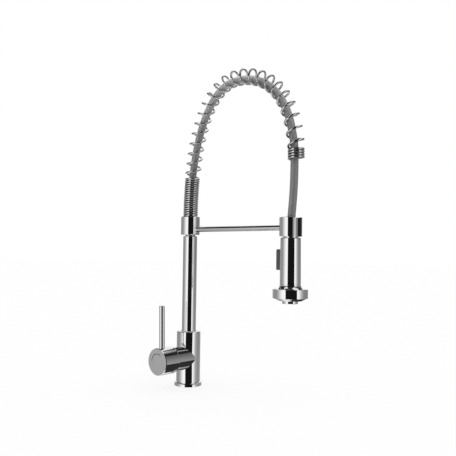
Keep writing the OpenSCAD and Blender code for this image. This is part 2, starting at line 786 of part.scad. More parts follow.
module dock_screw() color("dimgray") at_head() dock_screw_axis() difference() {
    union() {
        rod(dock_screw_r, ring_bore_r + 0.2, dock_r + dock_screw_len - 1);
        translate([0, 0, ring_bore_r + 0.1])
            cylinder(r1 = dock_screw_head_r, r2 = dock_screw_r - 0.1, h = 2);
    }
    translate([0, 0, ring_bore_r - 1]) cylinder(r = key_r - 0.1, h = 2.4, $fn = 6);
}

module dock_liner() color("black") at_head() {
    difference() {
        tube(liner_r, liner_in_r, dock_foot + 0.2, dock_top - 0.2);
        slot_cut(slot_w, 0);
    }
    lip_root = sqrt(pow(liner_r, 2) - pow(slot_w / 2 + lip_t, 2)) - 0.6;
    lip_end = slot_end_x - 0.2;
    for (side = [-1, 1]) translate([lip_root,
        side > 0 ? slot_w / 2 : -slot_w / 2 - lip_t, dock_foot + 0.2])
        cube([lip_end - lip_root, lip_t, dock_h - 0.4]);
}

// ---------- hose end ----------

module hose_nut() color("silver") at_head() difference() {
    turned([[0, spigot_foot], [swivel_r, spigot_foot], [swivel_r, head_top + face_gap],
        [neck_r - 0.6, head_top + face_gap], [neck_r, head_top + face_gap + 0.6],
        [neck_r, neck_top - 1.2], [neck_r - 1.2, neck_top], [0, neck_top]]);
    rod(nipple_bore_r, spigot_foot - 1, bore_foot + 1);
    rod(ferrule_r + fit_gap, bore_foot, mouth_foot + 1);
    rod(mouth_r, mouth_foot, neck_top + 1);
    tube(swivel_r + 1, swivel_r - 2 * oring_wire, groove_z, groove_z + oring_groove);
    tube(swivel_r + 1, swivel_r - 1.3, clip_z, clip_z + clip_h + 0.1);
}

module hose_washer() color("dimgray") at_head()
    tube(ferrule_r, nipple_bore_r, bore_foot + seat_gap, washer_top);

module hose_ferrule_bottom() color("silver") at_head() difference() {
    rod(ferrule_r, washer_top + seat_gap, mouth_foot);
    rod(hose_bore / 2, bore_foot, neck_top);
    rod(hose_r + 0.1, bore_foot + 2.9, neck_top);
}

module swivel_oring() color("dimgray") at_head()
    translate([0, 0, groove_z + oring_groove / 2]) torus(swivel_r - oring_wire + 0.02, oring_wire);

module swivel_clip() color("gray") at_head() difference() {
    tube(clip_r, swivel_r - 1.25, clip_z + 0.02, clip_z + clip_h);
    translate([-1.5, 0, clip_z - 1]) cube([3, clip_r + 1, clip_h + 2]);
}

// ---------- spray head ----------

module button_box(grow, x0, x1) translate([x0, -button_w / 2 - grow, button_z - button_h / 2 - grow])
    cube([x1 - x0, button_w + 2 * grow, button_h + 2 * grow]);

module head_shell() color("silver") difference() {
    at_head() turned([[core_r + 0.1, head_foot], [head_foot_d / 2 - 0.1, head_foot],
        [head_foot_d / 2, head_foot + 0.1], [head_top_d / 2, head_top - 1.2],
        [head_top_d / 2 - 0.35, head_top - 0.35], [head_top_d / 2 - 1.2, head_top],
        [swivel_r + 0.3, head_top], [swivel_r + 0.3, head_top - 2],
        [core_r + 0.1, head_top - 2]]);
    button_box(button_gap, button_x, reach);
}

module head_core() color("dimgray") difference() {
    at_head() turned([[0, core_foot], [core_neck_r, core_foot],
        [core_neck_r, head_foot - seam_h], [core_r, head_foot], [core_r, core_top], [0, core_top]]);
    at_head() {
        rod(swivel_r + fit_gap, clip_z + clip_h + 0.3, core_top + 1);
        rod(clip_r + face_gap, spigot_foot - 0.5, clip_z + clip_h + 0.35);
        rod(chamber_r, valve_foot, spigot_foot);
        rod(nipple_bore_r, core_foot - 1, valve_foot + 1);
    }
    button_box(button_gap, button_x, button_root + button_travel + 0.4);
    stem_axis() rod(stem_r + fit_gap, 0, core_r + core_r / 2);
}

// The diverter stem runs from the button to across the water way
module stem_axis() translate([button_root, 0, button_z]) rotate([0, 90, 0]) children();

module check_valve() color("whitesmoke") at_head() difference() {
    rod(chamber_r - fit_gap, valve_foot + seat_gap, valve_foot + valve_h);
    for (a = [0 : 60 : 300]) rotate([0, 0, a]) translate([3, 0, 0])
        rod(1.1, valve_foot - 1, valve_foot + valve_h + 1);
    rod(3.2, valve_foot + 5, valve_foot + valve_h + 1);
}

module filter_screen() color("gray") at_head() difference() {
    rod(chamber_r - fit_gap, valve_foot + valve_h + 0.1, valve_foot + valve_h + 1.6);
    for (x = [-3 : 1.5 : 3]) for (y = [-3 : 1.5 : 3])
        translate([x - 0.5, y - 0.5, valve_foot + valve_h]) cube([1, 1, 3]);
}

// Quarter arcs written as points: centre, radius, start angle, end angle
function arc(cx, cy, r, a0, a1, n) = [for (i = [0 : n]) let(a = a0 + (a1 - a0) * i / n)
    [cx + r * cos(a), cy + r * sin(a)]];

module bell() color("silver") at_head() turned(concat(
    [[core_neck_r + 0.1, core_foot + 0.5], [core_neck_r + 0.1, head_foot - seam_h],
        [head_foot_d / 2, head_foot - seam_h]],
    [for (i = [1 : 8]) let(k = i / 8)
        [head_foot_d / 2 + flare_w * k * k, head_foot - seam_h - flare_h * k]],
    arc(bell_r - rim_r, rim_top - rim_r, rim_r, 75, 0, 4),
    [[bell_r, rim_foot], [face_r + 0.9, bell_foot + 0.2], [face_r + 0.5, bell_foot],
        [face_r + 0.1, bell_foot], [face_r + 0.1, core_foot + 0.5 - face_top_gap],
        [core_neck_r + 0.1, core_foot + 0.5 - face_top_gap]]));

module spray_face() color("dimgray") at_head() difference() {
    tube(face_r, aerator_r + 0.1, face_foot, face_top);
    nozzle_places() rod(nozzle_r + 0.02, -1, face_top - face_foot + 1);
}

module nozzle_places() for (ring = [0, 1]) for (i = [0 : nozzle_count - 1])
    rotate([0, 0, (i + ring / 2) * 360 / nozzle_count])
        translate([aerator_r + nozzle_rings[ring], 0, face_foot]) children();

module spray_nozzles() color("gray") at_head() nozzle_places() difference() {
    translate([0, 0, -0.6]) cylinder(r1 = nozzle_r - 0.4, r2 = nozzle_r, h = 2.4);
    rod(0.4, -2, 5);
}

module aerator() color("silver") at_head() difference() {
    turned([[0, tip_foot + 1.2], [aerator_r - 2.4, tip_foot + 1.2], [aerator_r - 2.4, tip_foot],
        [aerator_r - 0.5, tip_foot], [aerator_r, tip_foot + 0.5], [aerator_r, core_foot - seat_gap],
        [0, core_foot - seat_gap]]);
    rod(nipple_bore_r + 2, tip_foot + 5, core_foot + 1);
    for (x = [-7.5 : 2.5 : 7.5]) for (y = [-7.5 : 2.5 : 7.5]) if (norm([x, y]) < aerator_r - 3.8)
        translate([x - 0.8, y - 0.8, tip_foot]) cube([1.6, 1.6, 7]);
}

// ---------- button ----------

module spray_button() color("dimgray") difference() {
    hull() for (y = [-1, 1]) for (z = [-1, 1]) {
        translate([0, y * (button_w / 2 - corner_r), button_z + z * (button_h / 2 - corner_r)])
            rotate([0, 90, 0]) {
                translate([0, 0, button_x + 0.8])
                    cylinder(r = corner_r, h = button_root - button_x - 0.8, $fn = 24);
                translate([0, 0, button_x]) cylinder(r = corner_r - 0.8, h = 1, $fn = 24);
            }
    }
    translate([button_root - 2.2, 0, button_z]) rotate([0, 90, 0]) rod(stem_r + 0.02, 0, 4);
}

module diverter_stem() color("whitesmoke") stem_axis() difference() {
    rod(stem_r, -2, core_r + 2.5);
    translate([0, 0, core_r - 1.5]) tube(stem_r + 1, stem_r - 0.9, -1.6, 1.6);
}

base_flange();
base_gasket();
valve_body();
cartridge_housing();
cartridge_seals();
fixed_disc();
cartridge_nut();
dome_cap();
glide_ring();
column_screw();
cartridge_carrier();
pivot_pin();
control_disc();
spindle();
handle_hub();
lever_rod();
hub_set_screw();
hot_mark();
cold_mark();
column_tube();
column_orings();
outlet_nipple();
collar();
collar_set_screw();
support_spring();
supply_hose();
hose_ferrule_top();
dock_arm();
dock_ring();
dock_liner();
dock_screw();
hose_nut();
hose_ferrule_bottom();
hose_washer();
swivel_oring();
swivel_clip();
head_shell();
head_core();
check_valve();
filter_screen();
bell();
spray_face();
spray_nozzles();
aerator();
spray_button();
diverter_stem();
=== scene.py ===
import json
import math

import bpy
import bmesh
from mathutils import Matrix, Vector


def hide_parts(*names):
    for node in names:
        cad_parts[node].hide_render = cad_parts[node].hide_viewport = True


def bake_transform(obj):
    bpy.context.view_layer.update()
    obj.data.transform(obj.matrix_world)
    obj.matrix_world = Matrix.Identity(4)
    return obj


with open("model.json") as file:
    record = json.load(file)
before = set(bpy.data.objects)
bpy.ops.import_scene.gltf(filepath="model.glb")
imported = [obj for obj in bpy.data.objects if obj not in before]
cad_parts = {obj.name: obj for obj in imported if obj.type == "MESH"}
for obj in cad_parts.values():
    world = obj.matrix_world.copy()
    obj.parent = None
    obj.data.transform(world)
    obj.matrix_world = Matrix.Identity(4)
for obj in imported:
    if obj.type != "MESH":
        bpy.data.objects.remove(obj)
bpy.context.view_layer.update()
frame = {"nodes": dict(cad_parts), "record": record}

nodes = frame["nodes"]

# ---------- camera ----------

VIEW_AZIMUTH = math.radians(41.161)
VIEW_ELEVATION = math.radians(-2.2736)
VIEW_ROLL = math.radians(0.738)
VIEW_TARGET = Vector((0.0514, 0.0449, 0.28265))
VIEW_DISTANCE = 1.1073
LENS = 48.08
SENSOR_WIDTH = 36
CLIP_START = 0.01


def make_camera():
    """Camera on a sphere round the target, rolled a little about its own axis"""
    level = math.cos(VIEW_ELEVATION)
    back = Vector((math.sin(VIEW_AZIMUTH) * level, -math.cos(VIEW_AZIMUTH) * level,
                   math.sin(VIEW_ELEVATION)))
    right = Vector((math.cos(VIEW_AZIMUTH), math.sin(VIEW_AZIMUTH), 0))
    up = back.cross(right)
    right, up = (math.cos(VIEW_ROLL) * right + math.sin(VIEW_ROLL) * up,
                 math.cos(VIEW_ROLL) * up - math.sin(VIEW_ROLL) * right)
    camera = bpy.data.objects.new("camera", bpy.data.cameras.new("camera"))
    camera.data.lens = LENS
    camera.data.sensor_width = SENSOR_WIDTH
    camera.data.clip_start = CLIP_START
    turn = Matrix((right, up, back)).transposed().to_4x4()
    camera.matrix_world = Matrix.Translation(VIEW_TARGET + VIEW_DISTANCE * back) @ turn
    bpy.context.collection.objects.link(camera)
    bpy.context.scene.camera = camera


make_camera()
bpy.context.scene.view_settings.view_transform = "Standard"

# ---------- node helpers ----------

# A Mix node's two colour inputs and its colour output, by place
MIX_COLOURS = (6, 7)
MIX_RESULT = 2
WHITE = (1, 1, 1, 1)


class Graph:
    """Short calls for building one node tree"""

    def __init__(self, tree):
        self.tree = tree

    def node(self, kind, inputs=None, **settings):
        """A new node. An input takes a value, or is linked to another node's output."""
        made = self.tree.nodes.new(kind)
        for key, value in settings.items():
            setattr(made, key, value)
        for key, value in (inputs or {}).items():
            if hasattr(value, "is_linked"):
                self.tree.links.new(value, made.inputs[key])
            else:
                made.inputs[key].default_value = value
        return made

    def math(self, operation, a, b=0.0):
        return self.node("ShaderNodeMath", {0: a, 1: b}, operation=operation).outputs[0]

    def noise(self, vector, scale, detail=2.0, roughness=0.5):
        """Noise from 0 to 1 with about this many waves to the metre"""
        return self.node("ShaderNodeTexNoise", {"Vector": vector, "Scale": scale,
                         "Detail": detail, "Roughness": roughness}).outputs["Fac"]

    def streaks(self, vector, scale):
        """Noise squeezed by a scale of its own along each axis"""
        squeezed = self.node("ShaderNodeMapping", {"Vector": vector, "Scale": scale})
        return self.noise(squeezed.outputs[0], 1, detail=3, roughness=0.7)

    def spread(self, value, low, high, to_low, to_high):
        """Maps low..high to to_low..to_high, clamped"""
        return self.node("ShaderNodeMapRange", {"Value": value, "From Min": low, "From Max": high,
                         "To Min": to_low, "To Max": to_high}).outputs["Result"]

    def mix(self, factor, a, b):
        made = self.node("ShaderNodeMix", {"Factor": factor}, data_type="RGBA")
        for place_in_node, value in zip(MIX_COLOURS, (a, b)):
            socket = made.inputs[place_in_node]
            if hasattr(value, "is_linked"):
                self.tree.links.new(value, socket)
            else:
                socket.default_value = (*value, 1)
        return made.outputs[MIX_RESULT]

    def bump(self, height, distance):
        return self.node("ShaderNodeBump", {"Height": height,
                         "Distance": distance}).outputs["Normal"]

    def principled(self, inputs):
        shader = self.node("ShaderNodeBsdfPrincipled", inputs)
        self.surface(shader)

    def surface(self, shader):
        self.node("ShaderNodeOutputMaterial", {"Surface": shader.outputs[0]})

    def place(self):
        """A point's place in the object's own coordinates"""
        return self.node("ShaderNodeTexCoord").outputs["Object"]

    def tube_place(self):
        """How far round and how far along a swept tube, as its UVs say"""
        uv = self.node("ShaderNodeSeparateXYZ",
                       {0: self.node("ShaderNodeTexCoord").outputs["UV"]})
        return uv.outputs[0], uv.outputs[1]


def new_material(name):
    material = bpy.data.materials.new(name)
    material.use_nodes = True
    material.node_tree.nodes.clear()
    return material, Graph(material.node_tree)


def grey(tone):
    return (tone, tone, tone)


# ---------- materials ----------

CHROME = (0.93, 0.93, 0.935)
CHROME_ROUGHNESS = 0.02
CHROME_RIPPLE = 0.000004
# Roughness that wear adds on chrome's sharp edges
EDGE_WEAR = 0.012
# What a smear multiplies chrome's roughness by, and the share of it that a hairline adds
SMEAR_ROUGHENS, HAIR_ROUGHENS = 2.2, 0.8
SMEAR_DARKENS = 0.965
# Depth of the rings that the tool leaves on turned metal, and how far they vary its roughness
RING_DEPTH = 0.000004
RING_VARIES = 0.07
# How far the tone of a moulded or turned surface strays
DARKER, PALER = 0.9, 1.1
# How far a moulded surface's roughness strays
GLOSS_VARIES = 0.06
# The part of a noise's range in which nearly all of it lies
MIDDLE = (0.3, 0.7)

# Tint and roughness
TURNED = {
    "steel": ((0.56, 0.56, 0.57), 0.3),
    "brass": ((0.72, 0.55, 0.27), 0.28),
}
# Colour, roughness and depth of the grain
MOULDED = {
    "ceramic": ((0.86, 0.86, 0.84), 0.16, 0.000001),
    "white_plastic": ((0.8, 0.8, 0.78), 0.42, 0.000004),
    "dark_plastic": ((0.012, 0.012, 0.013), 0.4, 0.000006),
    "grey_plastic": ((0.072, 0.07, 0.08), 0.5, 0.000008),
    "rubber": ((0.02, 0.02, 0.02), 0.65, 0.000008),
    "grey_rubber": ((0.3, 0.3, 0.31), 0.6, 0.000006),
    "red_mark": ((0.075, 0.035, 0.035), 0.35, 0.000002),
    "blue_mark": ((0.045, 0.045, 0.06), 0.35, 0.000002),
}

HOSE_R = 0.0064
# Strands of the hose's braid round the tube
STRANDS = 16
STRANDS_PER_METRE = STRANDS / (2 * math.pi * HOSE_R)
STRAND_HEIGHT = 0.00012
BRAID_ROUGHNESS = (0.26, 0.38)
# Painted light along the sleeve: start and end of each change of its brightness, in metres along
# the hose, and its size
HOSE_PAINTED_LIGHT = ((0.08, 0.12, 0.35), (0.17, 0.2, 0.65), (0.29, 0.35, -1.0))

# Distances along the wire where the close turns at its foot end and those at its tip begin
CLOSE_UNTIL, CLOSE_AFTER = 1.29, 3.08
CLOSE_FADE = 0.06
SMEARED_WIRE = (0.88, 0.88, 0.89)
# Painted shade for the close turns' flanks, where the turns nearly touch
PAINTED_FLANK_SHADE = (0.05, 0.05, 0.052)
WIRE_ROUGHNESS = (0.03, 0.08)


def polished(name, tint, rough, ripple):
    """Plated or polished metal: faint smears, fine hairlines, worn edges, a slight ripple"""
    material, graph = new_material(name)
    at = graph.place()
    smear = graph.noise(at, 38, detail=5, roughness=0.6)
    hairs = graph.streaks(at, (160, 160, 2600))
    edge = graph.spread(graph.node("ShaderNodeNewGeometry").outputs["Pointiness"],
                        0.52, 0.62, 0, 1)
    smeared = graph.spread(smear, 0.35, 0.75, rough, rough * SMEAR_ROUGHENS)
    scratched = graph.spread(hairs, 0.55, 0.8, 0, rough * HAIR_ROUGHENS)
    roughness = graph.math("ADD", smeared, graph.math(
        "ADD", scratched, graph.math("MULTIPLY", edge, EDGE_WEAR)))
    colour = graph.mix(graph.spread(smear, 0.4, 0.8, 0, 1), tint,
                       [c * SMEAR_DARKENS for c in tint])
    waves = graph.noise(at, 60, detail=1)
    graph.principled({"Base Color": colour, "Metallic": 1.0, "Roughness": roughness,
                      "Normal": graph.bump(waves, ripple)})
    return material


def moulded(name, colour, rough, grain):
    """Plastic, rubber or ceramic with a fine grain and slight uneven gloss"""
    material, graph = new_material(name)
    at = graph.place()
    tone = graph.noise(at, 90, detail=4)
    fine = graph.noise(at, 2600)
    shade = graph.mix(graph.spread(tone, *MIDDLE, 0, 1), [c * DARKER for c in colour],
                      [min(1, c * PALER) for c in colour])
    gloss = graph.spread(tone, *MIDDLE, rough - GLOSS_VARIES, rough + GLOSS_VARIES)
    graph.principled({"Base Color": shade, "Roughness": gloss,
                      "Normal": graph.bump(fine, grain)})
    return material


def turned_metal(name, tint, rough):
    """Plain machined metal with the tool's fine rings"""
    material, graph = new_material(name)
    at = graph.place()
    rings = graph.streaks(at, (30, 30, 4200))
    tone = graph.noise(at, 120, detail=3)
    colour = graph.mix(graph.spread(tone, *MIDDLE, 0, 1), [c * DARKER for c in tint], tint)
    gloss = graph.spread(rings, *MIDDLE, rough - RING_VARIES, rough + RING_VARIES)
    graph.principled({"Base Color": colour, "Metallic": 1.0, "Roughness": gloss,
                      "Normal": graph.bump(rings, RING_DEPTH)})
    return material


def braided(name):
    """Grey braided sleeve: crossing strands along the tube's own coordinates"""
    material, graph = new_material(name)
    gap, strand, dusty, shaded, painted_highlight = (grey(tone) for tone in (0.17, 0.51, 0.28, 0.06, 0.85))
    around, along = graph.tube_place()
    left, right = (graph.math("SINE", graph.math("MULTIPLY", graph.math(operation, around, along),
                                                 2 * math.pi))
                   for operation in ("ADD", "SUBTRACT"))
    weave = graph.math("MAXIMUM", left, right)
    tone = graph.noise(graph.place(), 300, detail=4)
    base = graph.mix(graph.spread(weave, -0.6, 0.9, 0, 1), gap, strand)
    worn = graph.mix(graph.spread(tone, 0.3, 0.75, 0, 0.35), base, dusty)
    # Painted light and shade: paler where the sleeve faces up and darker where it faces down, as
    # light from above would make it
    normal = graph.node("ShaderNodeSeparateXYZ",
                        {0: graph.node("ShaderNodeNewGeometry").outputs["Normal"]})
    side = graph.math("ADD", normal.outputs[2], graph.spread(tone, *MIDDLE, -0.1, 0.1))
    colour = graph.mix(graph.spread(side, -0.5, 0.55, 0.42, 0), worn, shaded)
    colour = graph.mix(graph.spread(side, -0.05, 0.6, 0, 0.6), colour, painted_highlight)
    # Painted light: brighter along the upper part of the rising leg and over the top, where more
    # light falls on the hose, and back to the plain tone further on
    far = graph.math("DIVIDE", along, STRANDS_PER_METRE)
    painted_gain = 1.0
    for start, end, change in HOSE_PAINTED_LIGHT:
        painted_gain = graph.math("ADD", painted_gain, graph.spread(far, start, end, 0, change))
    colour = graph.node("ShaderNodeVectorMath", {0: colour, "Scale": painted_gain},
                        operation="SCALE").outputs[0]
    graph.principled({"Base Color": colour, "Metallic": 0.6,
                      "Roughness": graph.spread(tone, *MIDDLE, *BRAID_ROUGHNESS),
                      "Normal": graph.bump(weave, STRAND_HEIGHT)})
    return material


def sprung(name):
    """Polished wire, with painted shade darkening the close turns' flanks, where the turns nearly
    touch.
    """
    material, graph = new_material(name)
    around, along = graph.tube_place()
    flank = graph.spread(graph.math("ABSOLUTE", graph.math("SINE", graph.math(
        "MULTIPLY", around, 2 * math.pi))), 0.52, 0.85, 0, 1)
    close = graph.math("MAXIMUM",
                       graph.spread(along, CLOSE_UNTIL, CLOSE_UNTIL + CLOSE_FADE, 1, 0),
                       graph.spread(along, CLOSE_AFTER - CLOSE_FADE, CLOSE_AFTER, 0, 1))
    smear = graph.noise(graph.place(), 300, detail=4, roughness=0.6)
    bright = graph.mix(graph.spread(smear, 0.4, 0.8, 0, 1), CHROME, SMEARED_WIRE)
    # Painted shade: the close turns' flanks are darkened where they nearly touch
    colour = graph.mix(graph.math("MULTIPLY", flank, close), bright, PAINTED_FLANK_SHADE)
    graph.principled({"Base Color": colour, "Metallic": 1.0,
                      "Roughness": graph.spread(smear, 0.3, 0.8, *WIRE_ROUGHNESS)})
    return material


finish = {
    "chrome": polished("chrome", CHROME, CHROME_ROUGHNESS, CHROME_RIPPLE),
    "braid": braided("braid"),
    "spring_chrome": sprung("spring_chrome"),
}
for slot, look in TURNED.items():
    finish[slot] = turned_metal(slot, *look)
for slot, look in MOULDED.items():
    finish[slot] = moulded(slot, *look)
for subpart in frame["record"]["subparts"]:
    mesh = nodes[subpart["node"]].data
    mesh.materials.clear()
    mesh.materials.append(finish[subpart["material_slot"]])

# ---------- the arch's line, the same as in the solid ----------

SPRING_FOOT = 0.2964
APEX = (0.109, 0.538)
TIP = (0.2313, 0.3891)
# Where the handles of the two curves stand, as shares of each curve's width or height
RISE_UP, RISE_OUT = 0.55, 0.28
FALL_OUT, FALL_UP = 0.55, 0.67
# Straight pieces in each of the two curves
STEPS = 600


def bezier(points, t):
    a, b, c, d = (Vector(p) for p in points)
    return (1 - t) ** 3 * a + 3 * (1 - t) ** 2 * t * b + 3 * (1 - t) * t * t * c + t ** 3 * d


RISE = ((0, SPRING_FOOT), (0, SPRING_FOOT + RISE_UP * (APEX[1] - SPRING_FOOT)),
        (RISE_OUT * APEX[0], APEX[1]), APEX)
FALL = (APEX, (APEX[0] + FALL_OUT * (TIP[0] - APEX[0]), APEX[1]),
        (TIP[0], TIP[1] + FALL_UP * (APEX[1] - TIP[1])), TIP)
arch = [bezier(RISE, i / STEPS) for i in range(STEPS)]
arch += [bezier(FALL, i / STEPS) for i in range(STEPS + 1)]
lengths = [0.0]
for first, second in zip(arch, arch[1:]):
    lengths.append(lengths[-1] + (second - first).length)
ARCH_LENGTH = lengths[-1]


def on_arch(s):
    """Point, inward unit vector and unit vector ahead at distance s along the arch. Past its
    end the line goes straight on."""
    past = max(s - ARCH_LENGTH, 0)
    s = min(max(s, 0), ARCH_LENGTH)
    low, high = 0, len(lengths) - 1
    while high - low > 1:
        middle = (low + high) // 2
        low, high = (middle, high) if lengths[middle] <= s else (low, middle)
    part = (s - lengths[low]) / (lengths[high] - lengths[low])
    point = arch[low].lerp(arch[high], part)
    near, far = max(low - 1, 0), min(high + 1, len(arch) - 1)
    ahead = (arch[far] - arch[near]).normalized()
    point += past * ahead
    return (Vector((point.x, 0, point.y)), Vector((ahead.y, 0, -ahead.x)),
            Vector((ahead.x, 0, ahead.y)))


def smooth(a, b, x):
    """Rises from 0 at a to 1 at b without corners"""
    k = min(1, max(0, (x - a) / (b - a)))
    return k * k * (3 - 2 * k)


def swept(name, path, sides, radius, side_ways, around=1, per_length=1.0):
    """A round tube along the path, closed at its ends, with a side way for each point of the
    path. Its UVs run round it and along it."""
    mesh = bpy.data.meshes.new(name)
    work = bmesh.new()
    uv_layer = work.loops.layers.uv.new("tube")
    rings, travelled = [], [0.0]
    for i, point in enumerate(path):
        ahead = (path[min(i + 1, len(path) - 1)] - path[max(i - 1, 0)]).normalized()
        across = ahead.cross(side_ways[i]).normalized()
        up = across.cross(ahead)
        ring = []
        for k in range(sides):
            turn = 2 * math.pi * k / sides
            ring.append(work.verts.new(point + radius * (math.cos(turn) * up
                                                         + math.sin(turn) * across)))
        rings.append(ring)
        if i:
            travelled.append(travelled[-1] + (point - path[i - 1]).length)
    for i in range(len(rings) - 1):
        for k in range(sides):
            m = (k + 1) % sides
            face = work.faces.new((rings[i][k], rings[i + 1][k], rings[i + 1][m], rings[i][m]))
            face.smooth = True
            for loop, (u, v) in zip(face.loops, ((k, i), (k, i + 1), (k + 1, i + 1), (k + 1, i))):
                loop[uv_layer].uv = (u / sides * around, travelled[v] * per_length)
    work.faces.new(rings[0][::-1])
    work.faces.new(rings[-1])
    bmesh.ops.recalc_face_normals(work, faces=work.faces)
    work.to_mesh(mesh)
    work.free()
    obj = bpy.data.objects.new(name, mesh)
    bpy.context.collection.objects.link(obj)
    return obj


# ---------- spring ----------

# It differs a little from the solid: the wire is 0.4 mm thicker, the close turns are 0.55 mm
# further out, the open turns widen less, and the wire runs on past the arch's end.

FOOT_TURNS, OPEN_TURNS, TIP_TURNS = 18.3, 22, 3.5
TURNS = FOOT_TURNS + OPEN_TURNS + TIP_TURNS
# The wire runs on past the arch's end by this much of a turn
END_TURN = 0.45
CLOSE_PITCH = 0.0041
OPEN_LENGTH = ARCH_LENGTH - (FOOT_TURNS + TIP_TURNS) * CLOSE_PITCH
# How much wider the open turns get towards the tip
PITCH_GROWTH = 0.074
# The wire's starting angle, in turns
PHASE = 0.71
CLOSE_R, OPEN_R = 0.0118, 0.0126
# Turns over which the radius changes: on the close side and on the open side
CLOSE_EASE, OPEN_EASE = 0.5, 1
# How far an open turn's front leans back along the arch, as a share of its radius
COIL_LEAN = 0.2
# Turns over which the lean starts, and the shares of the open turns between which it ends
LEAN_START = 1.5
LEAN_END = (0.5, 0.9)
WIRE_R = 0.0019
WIRE_SIDES = 12
TURN_STEPS = 36


def turn_length(u):
    """Distance along the arch after u turns"""
    if u < FOOT_TURNS:
        return u * CLOSE_PITCH
    part = (u - FOOT_TURNS) / OPEN_TURNS
    if part < 1:
        part += PITCH_GROWTH * (part * part - part)
        return FOOT_TURNS * CLOSE_PITCH + part * OPEN_LENGTH
    return (u - OPEN_TURNS) * CLOSE_PITCH + OPEN_LENGTH


def coil(u):
    """The wire's centre and the arch's point after u turns"""
    point, inward, ahead = on_arch(turn_length(u))
    open_part = (smooth(FOOT_TURNS - CLOSE_EASE, FOOT_TURNS + OPEN_EASE, u)
                 - smooth(TURNS - TIP_TURNS - OPEN_EASE, TURNS - TIP_TURNS + CLOSE_EASE, u))
    r = CLOSE_R + (OPEN_R - CLOSE_R) * open_part
    lean_from, lean_to = (FOOT_TURNS + share * OPEN_TURNS for share in LEAN_END)
    lean = COIL_LEAN * (smooth(FOOT_TURNS, FOOT_TURNS + LEAN_START, u)
                        - smooth(lean_from, lean_to, u))
    turn = 2 * math.pi * (u - PHASE)
    side = Vector((0, 1, 0)) + lean * ahead
    return point - r * math.cos(turn) * inward - r * math.sin(turn) * side, point


def make_spring():
    count = int((TURNS + END_TURN) * TURN_STEPS)
    pairs = [coil(i / TURN_STEPS) for i in range(count + 1)]
    path = [wire for wire, _ in pairs]
    spring = swept("spring_coil", path, WIRE_SIDES, WIRE_R, [wire - point for wire, point in pairs])
    spring.data.materials.append(finish["spring_chrome"])
    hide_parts("support_spring")
    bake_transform(spring)


make_spring()

# ---------- hose ----------

# It leans up to 1 mm further inwards than the solid.

# Where the hose starts, above the outlet nipple
HOSE_FOOT = 0.2938
# How far the hose lies inwards of the arch's line, and how far at the arch's tip
HOSE_LEAN = 0.0041
TIP_LEAN = 0.003
# The lean starts this far short of the open turns and grows over this length
LEAN_LEAD, LEAN_LENGTH = 0.006, 0.17
# Distances from the arch's tip between which the lean changes to the tip's
TIP_EASE = (0.05, 0.016)
HOSE_STEPS = 260
# The head's middle, and the heights where the nut's mouth and its bore end below
REACH = 0.222
MOUTH_FOOT = 0.283
BORE_FOOT = 0.2665
# The handles of the drop from the arch's tip to the nut, as shares of its height
DROP_START, DROP_OUT, DROP_END = 0.45, 0.04, 0.4
DROP_STEPS = 60
# The straight end stops this far above the bore's end, after steps of this height
END_GAP, END_STEP = 0.003, 0.004
HOSE_SIDES = 32


def hose_path():
    lean_from = FOOT_TURNS * CLOSE_PITCH - LEAN_LEAD
    tip_from, tip_to = (ARCH_LENGTH - distance for distance in TIP_EASE)
    path = [Vector((0, 0, HOSE_FOOT))]
    for i in range(HOSE_STEPS):
        s = ARCH_LENGTH * i / (HOSE_STEPS - 1)
        point, inward, _ = on_arch(s)
        lean = HOSE_LEAN * smooth(lean_from, lean_from + LEAN_LENGTH, s)
        lean -= (HOSE_LEAN - TIP_LEAN) * smooth(tip_from, tip_to, s)
        path.append(point + lean * inward)
    leave = path.pop()
    height = leave.z - MOUTH_FOOT
    drop = ((leave.x, leave.z), (leave.x, leave.z - DROP_START * height),
            (REACH + DROP_OUT * height, MOUTH_FOOT + DROP_END * height), (REACH, MOUTH_FOOT))
    for i in range(DROP_STEPS + 1):
        point = bezier(drop, i / DROP_STEPS)
        path.append(Vector((point.x, 0, point.y)))
    return path + [Vector((REACH, 0, BORE_FOOT + END_GAP + END_STEP * k)) for k in (2, 1, 0)]


def make_hose():
    path = hose_path()
    hose = swept("hose_braid", path, HOSE_SIDES, HOSE_R, [Vector((0, 1, 0))] * len(path),
                 around=STRANDS, per_length=STRANDS_PER_METRE)
    hose.data.materials.append(finish["braid"])
    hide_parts("supply_hose")
    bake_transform(hose)


make_hose()

# ---------- smooth shading ----------

SHARP_ANGLE = math.radians(28)


def smoothed(obj):
    """Shades the faces smooth, with the sharp edges kept"""
    for face in obj.data.polygons:
        face.use_smooth = True
    with bpy.context.temp_override(object=obj, active_object=obj, selected_editable_objects=[obj],
                                   selected_objects=[obj]):
        bpy.ops.object.shade_smooth_by_angle(angle=SHARP_ANGLE)


for node in nodes.values():
    if not node.hide_render:
        smoothed(node)

# ---------- world and floor ----------

# The world's light on the object. The camera and reflections see it at 1.
WORLD_LIGHT = 0.97
FLOOR_HALF = 12
# Share of plain white in what the camera sees of the floor. The rest takes the shadow.
FLOOR_WHITE = 0.8


def stage_mesh(name, verts, faces, material):
    mesh = bpy.data.meshes.new(name)
    mesh.from_pydata(verts, [], faces)
    obj = bpy.data.objects.new(name, mesh)
    bpy.context.collection.objects.link(obj)
    obj.data.materials.append(material)
    return obj


def make_world():
    world = bpy.data.worlds.new("studio")
    bpy.context.scene.world = world
    world.use_nodes = True
    world.node_tree.nodes.clear()
    graph = Graph(world.node_tree)
    path = graph.node("ShaderNodeLightPath").outputs
    seen = graph.math("MAXIMUM", path["Is Camera Ray"],
                      graph.math("MAXIMUM", path["Is Glossy Ray"], path["Is Transmission Ray"]))
    strength = graph.spread(seen, 0, 1, WORLD_LIGHT, 1.0)
    back = graph.node("ShaderNodeBackground", {"Color": WHITE, "Strength": strength})
    graph.node("ShaderNodeOutputWorld", {"Surface": back.outputs[0]})


